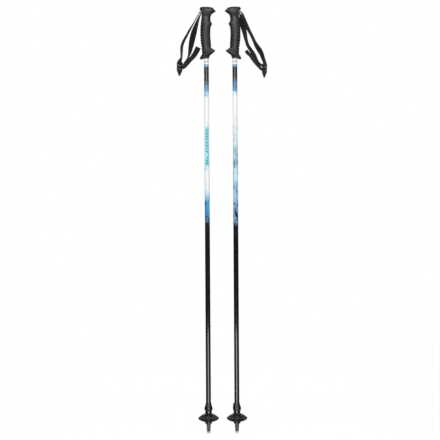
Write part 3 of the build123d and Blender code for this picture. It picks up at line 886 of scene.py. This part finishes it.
def rubber():
    """Dark grey grip rubber: fine matt grain, painted shade in the grooves and a painted highlight on the
    ridges, a little shine where it is held.
    """
    material, tree, shader = new_finish("grip_rubber", Specular_IOR_Level=0.5)
    here = placed(tree, "pole space")
    skin = placed(tree, "moulded grain", Place=here["Place"], Scale=1150.0)
    hollow = node(tree, "NewGeometry").outputs["Pointiness"]
    tone = mixed(tree, share(tree, skin["Mottle"], 0.35, 0.66), "1e1e20", "29292b")
    # painted shade: where the mesh's pointiness is low, in the grooves, the rubber is darkened towards
    # 101011
    tone = mixed(tree, share(tree, hollow, 0.49, 0.44, 0.0, 0.6), tone, "101011")
    # painted highlight: where the pointiness is high, on the ridges and edges, the rubber is lightened
    # towards 4c4b4c
    tone = mixed(tree, share(tree, hollow, 0.52, 0.57, 0.0, 0.35), tone, "4c4b4c")
    tone = mixed(tree, times(tree, skin["Dust"], 0.10), tone, "8c8884")
    give(tree, shader, "Base Color", tone)
    held = between(tree, here["Height"], 1.070, 1.10, 1.15, 1.172)
    rough = maths(tree, "SUBTRACT", 0.42, times(tree, held, 0.06))
    give(tree, shader, "Roughness", plus(tree, rough, times(tree, skin["Mottle"], 0.08)))
    relief(tree, shader, skin["Height"], 0.00007, 0.8)
    return material


grip_rubber = rubber()
grip_solid = joined(level_stack(BODY, squareness=2.3), level_stack(HEAD, squareness=3.0), flange_stack())
grip_skin = softened(grip_solid, voxel=0.8, rounds=3, cutters=(strap_mouth(), heel_hole()), again=0.55)
shaped(grip_skin, hand_relief)
for side in SIDES:
    add_piece("hand_grip", side, grip_skin, grip_rubber, "pole", "grip")

# ---------------------------------------------------------------- grip caps
# The cap is a harder, darker plastic: a low dome with a shallow oval rest for the thumb, pressed into the
# head over the pin, with a fine groove where it meets the grip.
CAP = [  # above the cap's foot: back, front, width
    (0.0, -16.9, 20.0, 29.6), (0.35, -17.6, 20.8, 31.0), (0.9, -17.9, 21.0, 31.5), (2.6, -17.2, 18.6, 30.0),
    (4.0, -15.4, 14.0, 26.5), (4.7, -13.4, 10.4, 22.6), (5.0, -10.6, 6.6, 17.5),
]


def cap_dome():
    """The dome through its sections, closed with a shallow dish on top."""
    rings = []
    foot = grip_top - CAP[-1][0]
    for height, back, front, width in eased(CAP, 0.25):
        lift = Vector((0, 0, foot + height))
        rings.append([p + lift for p in outline(back, front, width, 2.9)])
    last = rings[-1]
    middle = sum(last, Vector()) / len(last)
    for inward in (0.92, 0.84, 0.76, 0.66, 0.5, 0.3, 0.12):
        sink = 0.45 * float(smoothstep(np.array(1 - inward), 0.1, 0.4))
        rings.append([middle + (p - middle) * inward - Vector((0, 0, sink)) for p in last])
    return mesh_of(*stacked(rings))


cap_plastic = plastic("cap_plastic", "101011", "19191b", 0.5, scale=900.0, depth=0.00006,
                      Specular_IOR_Level=0.38)
cap_mesh = cap_dome()
for side in SIDES:
    add_piece("thumb_cap", side, cap_mesh, cap_plastic, "pole", "grip_cap")

# ---------------------------------------------------------------- wrist straps
# Each strap is woven polyester webbing, 20 mm wide.  It is doubled and stitched round the buckle's fixed
# bar, goes up and over the pin in the head, and comes down again into the buckle.
strap_width, strap_thick = 20.0, 1.5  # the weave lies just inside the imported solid, which is 1.6 thick
pin_wrap = 2.85  # centre line of the webbing round the pin
bar_wrap = 2.60  # and round a buckle's bar
bar_step = 13.0  # between the buckle's bars
ROUTE = {  # stations of (x, y, below the top, turn of the width), in a pole's own frame
    "left": {
        "buckle": (-75.0, 0.0, 157.0), "turn": 28.0, "lean": 2.0,
        "outer": [
            (-18.6, 0.0, 15.6, 0), (-22.4, 0.0, 21.5, 0), (-28.6, 0.0, 33.0, 0), (-36.0, 0.0, 46.5, 3),
            (-46.0, 0.1, 63.3, 12), (-55.2, 0.2, 80.2, 15), (-64.2, 0.3, 97.1, 19), (-68.4, 0.3, 109.0, 20),
            (-69.6, 0.2, 122.0, 19), (-69.8, 0.1, 134.0, 15), (-70.6, 0.0, 144.0, 14),
        ],
        "inner": [
            (-15.2, 0.0, 20.2, 4), (-17.8, 0.0, 25.0, 8), (-20.6, 0.0, 31.0, 13), (-24.8, 0.0, 42.0, 23),
            (-29.2, 0.0, 55.0, 35), (-33.4, 0.0, 68.0, 48), (-37.2, 0.0, 82.0, 52), (-40.7, 0.0, 97.0, 49),
            (-43.4, 0.0, 111.0, 40), (-46.4, 0.0, 126.0, 27), (-49.0, -0.2, 135.5, 14),
            (-52.6, -0.6, 144.5, 8), (-58.0, -1.6, 154.2, 14), (-63.0, -2.2, 159.4, 22),
        ],
        "tail": [
            (-66.2, -7.0, 172.0, 32), (-59.2, -9.8, 164.6, 40), (-48.4, -13.2, 152.4, 44),
            (-36.0, -16.4, 139.5, 48), (-28.0, -18.4, 127.0, 48), (-21.8, -19.4, 115.0, 46),
        ],
    },
    "right": {
        "buckle": (-84.0, 0.0, 163.5), "turn": -22.0, "lean": -2.0,
        "outer": [
            (-19.2, 0.0, 16.0, -4), (-22.8, 0.0, 21.5, -12), (-26.6, 0.0, 33.0, -20),
            (-32.4, 0.0, 48.0, -25), (-38.9, 0.0, 63.3, -26), (-47.7, -0.2, 80.2, -23),
            (-55.2, -0.4, 97.1, -24), (-63.0, -0.6, 112.0, -38), (-70.0, -0.5, 122.5, -45),
            (-75.4, -0.3, 132.0, -36), (-79.6, 0.0, 145.0, -30),
        ],
        "inner": [
            (-14.6, 0.0, 20.2, -6), (-17.2, 0.0, 25.6, -20), (-18.8, 0.0, 32.0, -32),
            (-21.2, 0.0, 43.0, -44), (-24.2, 0.0, 56.0, -47), (-27.8, 0.0, 70.0, -39),
            (-30.6, 0.0, 85.0, -30), (-33.5, 0.0, 98.0, -24), (-37.9, 0.0, 110.0, -26),
            (-46.0, 0.0, 122.5, -30), (-54.2, 0.4, 135.0, -29), (-60.4, 0.8, 147.5, -22),
            (-67.0, 1.2, 158.5, -18),
        ],
        "tail": [
            (-75.8, 4.2, 177.2, -20), (-70.2, 5.2, 171.5, -25), (-62.4, 6.8, 162.5, -29),
            (-54.4, 8.0, 151.8, -33), (-46.2, 9.0, 140.2, -33), (-37.4, 9.8, 131.6, -30),
            (-31.2, 10.2, 124.4, -27),
        ],
    },
}


def buckle_matrix(route):
    """The buckle's own frame: x along its bars, y up towards the hand, z out of its face."""
    x, y, drop = route["buckle"]
    turn, lean = radians(route["turn"]), radians(route["lean"])
    bars = Vector((sin(turn), cos(turn), 0))
    flat_out = Vector((cos(turn), -sin(turn), 0))
    up = Vector((0, 0, 1)) * cos(lean) + flat_out * sin(lean)
    face = bars.cross(up)
    made = Matrix((bars, face.cross(bars), face)).transposed().to_4x4()
    made.translation = (x, y, grip_top - drop)
    return made


def on_buckle(route, spots):
    """Stations on the buckle, given as (out of its face, below its fixed bar)."""
    return [(buckle_matrix(route) @ Vector((0, -down, out)), route["turn"]) for out, down in spots]


def hung(points):
    """Stations in the air, given as (x, y, below the top, turn)."""
    return [(Vector((x, y, grip_top - drop)), turn) for x, y, drop, turn in points]


def round_bar(centre, radius, start, end, step=20):
    """Spots on an arc of (across, up) from one angle to another, in degrees."""
    count = max(2, round(abs(end - start) / step))
    angles = [radians(start + (end - start) * i / count) for i in range(count + 1)]
    return [(centre[0] + radius * cos(a), centre[1] + radius * sin(a)) for a in angles]


def flowing(stations, spacing):
    """Stations on a smooth line through the given ones, about evenly spaced."""
    values = [np.array((*point, turn), float) for point, turn in stations]
    values = [2 * values[0] - values[1]] + values + [2 * values[-1] - values[-2]]
    made = []
    for i in range(1, len(values) - 2):
        p0, p1, p2, p3 = values[i - 1:i + 3]
        knots = [0.0]
        for a, b in ((p0, p1), (p1, p2), (p2, p3)):
            knots.append(knots[-1] + max(np.linalg.norm((b - a)[:3]), 1e-6) ** 0.5)
        t0, t1, t2, t3 = knots
        count = max(2, int(ceil(np.linalg.norm((p2 - p1)[:3]) / spacing)))
        for step in range(count):
            t = t1 + (t2 - t1) * step / count
            a1 = (t1 - t) / (t1 - t0) * p0 + (t - t0) / (t1 - t0) * p1
            a2 = (t2 - t) / (t2 - t1) * p1 + (t - t1) / (t2 - t1) * p2
            a3 = (t3 - t) / (t3 - t2) * p2 + (t - t2) / (t3 - t2) * p3
            b1 = (t2 - t) / (t2 - t0) * a1 + (t - t0) / (t2 - t0) * a2
            b2 = (t3 - t) / (t3 - t1) * a2 + (t - t1) / (t3 - t1) * a3
            made.append((t2 - t) / (t2 - t1) * b1 + (t - t1) / (t2 - t1) * b2)
    made.append(values[-2])
    return made


def webbing_section(ridges=9, steps=4):
    """Half the webbing's outline as (across, half thickness): lengthwise ridges between two firm edges."""
    count = ridges * steps
    half = []
    for i in range(count + 1):
        across = -1 + 2 * i / count
        edge = 1 - abs(across)
        body = 0.94 + 0.06 * cos(2 * pi * i / steps)
        roll = min(1.0, (edge / 0.055) ** 0.5) if edge > 0 else 0.0
        half.append((across * strap_width / 2, strap_thick / 2 * body * (0.30 + 0.70 * roll)))
    return half


def webbing_mesh(stations, spacing=1.5, swell=None):
    """Webbing along a line, with its width and length in mm kept as the map that the weave is drawn on."""
    line = flowing(stations, spacing)
    places = [Vector(v[:3]) for v in line]
    half = webbing_section()
    loop = [(a, t) for a, t in half] + [(a, -t) for a, t in reversed(half)]
    count = len(loop)
    verts, marks, length = [], [], 0.0
    for i, value in enumerate(line):
        run = (places[min(i + 1, len(line) - 1)] - places[max(i - 1, 0)]).normalized()
        wide = Vector((sin(radians(value[3])), cos(radians(value[3])), 0))
        wide = (wide - run * wide.dot(run)).normalized()
        face = run.cross(wide)
        if i:
            length += (places[i] - places[i - 1]).length
        thick = swell(i / (len(line) - 1)) if swell else 1.0
        verts += [places[i] + wide * a + face * (t * thick) for a, t in loop]
        marks.append(length)
    rows = len(line)
    faces, uvs = [], []
    for r in range(rows - 1):
        for i in range(count):
            j = (i + 1) % count
            faces.append((r * count + i, r * count + j, (r + 1) * count + j, (r + 1) * count + i))
            u0, u1 = loop[i][0], loop[j][0]
            uvs += [(u0, marks[r]), (u1, marks[r]), (u1, marks[r + 1]), (u0, marks[r + 1])]
    middle = count // 2
    for r, flip in ((0, True), (rows - 1, False)):
        for i in range(middle - 1):
            quad = (r * count + i, r * count + i + 1, r * count + count - 2 - i, r * count + count - 1 - i)
            quad = tuple(reversed(quad)) if flip else quad
            faces.append(quad)
            uvs += [(loop[k % count][0], marks[r]) for k in quad]
    made = mesh_of(verts, faces)
    layer = made.uv_layers.new(name="webbing")
    layer.data.foreach_set("uv", [value for pair in uvs for value in pair])
    return made


def weave():
    """Plain webbing weave on a map in mm: crossing yarns as a height, their tone with painted shade between
    the yarns, and the firm edges.
    """
    tree, given, leave = group(
        "webbing weave", [("Map", "Vector", None), ("Across", "Float", 1.1), ("Along", "Float", 1.6)],
        [("Height", "Float"), ("Tone And Painted Shade", "Float"), ("Edge", "Float")])
    here = node(tree, "SeparateXYZ", {0: given["Map"]})
    u = maths(tree, "DIVIDE", here.outputs["X"], given["Across"])
    v = maths(tree, "DIVIDE", here.outputs["Y"], given["Along"])
    over = times(tree, maths(tree, "SINE", times(tree, u, pi)), maths(tree, "SINE", times(tree, v, pi)))
    yarn = maths(tree, "ABSOLUTE", over)
    ply = noise(tree, given["Map"], 6.0, 3.0, 0.7)
    height = plus(tree, maths(tree, "POWER", yarn, 0.6), times(tree, ply, 0.35))
    give(tree, leave, "Height", height)
    way = times(tree, maths(tree, "SIGN", over), 0.18)
    # painted shade: the crests of the yarns are lighter and the gaps between them darker; a checker of cells
    # and the ply noise vary the yarns' own tone
    give(tree, leave, "Tone And Painted Shade", plus(tree, yarn, way, times(tree, ply, 0.4)))
    give(tree, leave, "Edge", share(tree, maths(tree, "ABSOLUTE", here.outputs["X"]), 8.7, 9.2))


weave()


def polyester(name, dark, light):
    """Woven webbing in two near shades, with firm edges and a few pale worn fibres."""
    material, tree, shader = new_finish(
        name, Specular_IOR_Level=0.3, Sheen_Weight=0.12, Sheen_Roughness=0.5)
    flat_map = node(tree, "UVMap", uv_map="webbing").outputs[0]
    cloth = placed(tree, "webbing weave", Map=flat_map)
    fibre = noise(tree, flat_map, 0.25, 5.0, 0.6)
    # the weave's tone with its painted shade between the yarns chooses between the two shades
    tone = mixed(tree, share(tree, cloth["Tone And Painted Shade"], 0.2, 1.3), dark, light)
    tone = mixed(tree, times(tree, cloth["Edge"], 0.4), tone, dark)
    tone = mixed(tree, share(tree, fibre, 0.5, 0.72, 0.0, 0.25), tone, "4b4a49")
    give(tree, shader, "Base Color", tone)
    give(tree, shader, "Roughness", plus(tree, 0.72, times(tree, cloth["Height"], 0.12)))
    relief(tree, shader, cloth["Height"], 0.00018, 0.8)
    return material


black_webbing = polyester("black_webbing", "060607", "151517")


def strap_stations(route):
    """From the sewn end round the fixed bar, up over the pin and down into the buckle."""
    lap = 0.95
    eye = [(out, -up) for out, up in round_bar((0, 0), bar_wrap, 0, -180)]
    sewn = on_buckle(route, [(lap, -9.0), (lap, -7.0), (lap, -5.0)] + eye + [(-lap, -5.0)])
    over_pin = [(Vector((x, 0, z)), 0) for x, z in round_bar((pin_x, pin_z), pin_wrap, 155, -40)]
    into_slot = on_buckle(route, [(6.6, 2.7), (3.9, 3.8), (1.9, 5.4), (1.0, 7.3)])
    return sewn + hung(route["outer"][::-1]) + over_pin + hung(route["inner"]) + into_slot


def stitch(start, end, thickness=0.24):
    """One stitch of thread lying from start to end, its ends sunk into the cloth."""
    run = end - start
    side_way = run.orthogonal().normalized()
    rise = run.cross(side_way).normalized()
    rings = []
    for t, swell in ((0.0, 0.35), (0.12, 0.8), (0.35, 1.0), (0.65, 1.0), (0.88, 0.8), (1.0, 0.35)):
        centre = start.lerp(end, t)
        rings.append([centre + (side_way * cos(a) + rise * sin(a)) * thickness * swell
                      for a in (k * pi / 3 for k in range(6))])
    return stacked(rings)


def stitch_rows(place, rows, surfaces, length=1.9, gap=0.7, reach=8.6):
    """Rows of stitches across the webbing; place turns (across, along, out of the face) into a point."""
    shells = []
    for along in rows:
        for out in surfaces:
            across = -reach
            while across + length <= reach:
                shells.append(stitch(place(across, along, out), place(across + length, along + 0.25, out)))
                across += length + gap
    return shells


def thread():
    """Black bonded thread with a light twist."""
    material, tree, shader = new_finish("sewing_thread", Specular_IOR_Level=0.4)
    here = placed(tree, "pole space")
    ply = noise(tree, here["Place"], 2200.0, 3.0)
    give(tree, shader, "Base Color", mixed(tree, ply, "101012", "2e2e31"))
    give(tree, shader, "Roughness", plus(tree, 0.4, times(tree, ply, 0.3)))
    return material


black_thread = thread()
tack_rows, tack_faces = (5.6, 8.0), (-1.72, 1.72)  # up from the fixed bar, and out of both faces
for side, route in ROUTE.items():
    add_piece("wrist_strap", side, webbing_mesh(strap_stations(route)), black_webbing, "strap", "strap")
    to_pole = buckle_matrix(route)
    tack = stitch_rows(lambda across, along, out: to_pole @ Vector((across, along, out)),
                       tack_rows, tack_faces)
    add_piece("strap_stitches", side, joined(*tack), black_thread, "strap", None)

# ---------------------------------------------------------------- strap tails
# The webbing's free end comes back round the buckle's lower bar and up past the loop.  Its cut end is
# folded over once and sewn flat, so it is a little thicker there.
fold_extra, fold_from, fold_to = 0.55, 0.862, 0.872  # of the thickness, and of the way along the tail
hem_rows, hem_faces = (2.4, 6.0), (-1.14, 1.14)


def tail_stations(route):
    """From inside the buckle round its lower bar and up to the cut end."""
    wrap = [(out, bar_step - up) for out, up in round_bar((0, 0), bar_wrap, 120, 300)]
    held = on_buckle(route, [(1.6, bar_step - 4.6)] + wrap + [(4.4, bar_step + 3.2)])
    return held + hung(route["tail"])


def hem(progress):
    """How much thicker the webbing is along the tail: the folded end."""
    return 1.0 + fold_extra * float(smoothstep(np.array(progress), fold_from, fold_to))


def tail_frame(route):
    """Turns (across, back from the end, out of the face) into a point on the tail."""
    way = flowing(tail_stations(route), 1.5)
    end, before = Vector(way[-1][:3]), Vector(way[-4][:3])
    turn = radians(route["tail"][-1][3])
    run = (before - end).normalized()
    wide = Vector((sin(turn), cos(turn), 0))
    wide = (wide - run * wide.dot(run)).normalized()
    face = run.cross(wide)
    return lambda across, along, out: end + run * along + wide * across + face * out


for side, route in ROUTE.items():
    add_piece("strap_end", side, webbing_mesh(tail_stations(route), swell=hem), black_webbing, "buckle",
              "strap_tail")
    add_piece("hem_stitches", side, joined(*stitch_rows(tail_frame(route), hem_rows, hem_faces)),
              black_thread, "buckle", None)

# ---------------------------------------------------------------- strap buckles
# The ladder buckle is moulded nylon: two rails, a fixed bar that the strap is sewn round, a toothed lower
# bar that grips it, and a tapering tab with finger ridges that lifts to let the webbing slip.
rail_width, bar_thick, slot_height, tab_length, tab_tip = 2.8, 3.0, 3.5, 18.0, 5.0
buckle_thick = 4.2
buckle_open = strap_width + 1.4


def block(x0, x1, y0, y1, half):
    """A plain block in the buckle's frame, to be fused and rounded."""
    corners = [(x0, y0), (x1, y0), (x1, y1), (x0, y1)]
    return slab(corners, half)


def slab(points, half):
    """A flat outline of (x, y) made 2 x half thick."""
    count = len(points)
    verts = [Vector((x, y, -half)) for x, y in points] + [Vector((x, y, half)) for x, y in points]
    faces = [tuple(range(count - 1, -1, -1)), tuple(range(count, 2 * count))]
    faces += [(i, (i + 1) % count, (i + 1) % count + count, i + count) for i in range(count)]
    return verts, faces


def rod(y, radius, half, segments=28):
    """A round bar along x."""
    rings = [[Vector((x, y + radius * cos(2 * pi * s / segments), radius * sin(2 * pi * s / segments)))
              for s in range(segments)] for x in (-half, 0.0, half)]
    return stacked(rings)


def buckle_skin():
    """The moulding: rails, bars, teeth and tab fused and rounded, then ridged where a finger lifts it."""
    half_width = buckle_open / 2 + rail_width
    tab_top = -(bar_step + bar_thick / 2 + slot_height)
    end = tab_top - tab_length
    rail = [block(x, x + rail_width, tab_top, bar_thick / 2 + 1, buckle_thick / 2)
            for x in (-half_width, half_width - rail_width)]
    tab = slab([
        (-half_width, tab_top + 1), (-half_width + 1, tab_top - 4), (-tab_tip / 2 - 2.6, end + 6),
        (-tab_tip / 2 + 0.2, end + 0.8), (-tab_tip / 2 + 1, end), (tab_tip / 2 - 1, end),
        (tab_tip / 2 - 0.2, end + 0.8), (tab_tip / 2 + 2.6, end + 6), (half_width - 1, tab_top - 4),
        (half_width, tab_top + 1)], buckle_thick / 2)
    teeth = [rod(-bar_step + 1.35 * sin(a), 0.34, buckle_open / 2 + 0.4, 10) for a in (0.5, -0.5)]
    bars = [rod(0, bar_thick / 2, buckle_open / 2 + 1), rod(-bar_step, bar_thick / 2, buckle_open / 2 + 1)]
    made = softened(joined(*rail, tab, *bars, *teeth), voxel=0.30, rounds=4)

    def ridges(points, normals):
        ridge_height, ridge_pitch, dish = 0.30, 2.2, 0.35
        y, z = points[:, 1], points[:, 2]
        face = smoothstep(np.abs(normals[:, 2]), 0.6, 0.9) * smoothstep(y, end + 3, end + 5)
        face = face * smoothstep(y, tab_top - 2.5, tab_top - 4.5)
        hollow = -dish * smoothstep(y, tab_top - 1.0, tab_top - 4.0) * smoothstep(y, end + 1, end + 4)
        hollow = hollow * smoothstep(np.abs(points[:, 0]) - (y - end) * 0.42, 3.2, 1.2)
        waves = ridge_height * np.cos(2 * pi * y / ridge_pitch)
        return face * waves + np.where(np.abs(z) > 0.5, hollow, 0) * face

    return shaped(made, ridges)


buckle_nylon = plastic("buckle_nylon", "2b2b2d", "3a3a3c", 0.38, scale=1500.0, dust=0.10,
                       Specular_IOR_Level=0.5)
buckle_mesh = buckle_skin()
for side, route in ROUTE.items():
    own = buckle_mesh.copy()
    own.transform(buckle_matrix(route))
    add_piece("ladder_buckle", side, own, buckle_nylon, "buckle", "buckle")
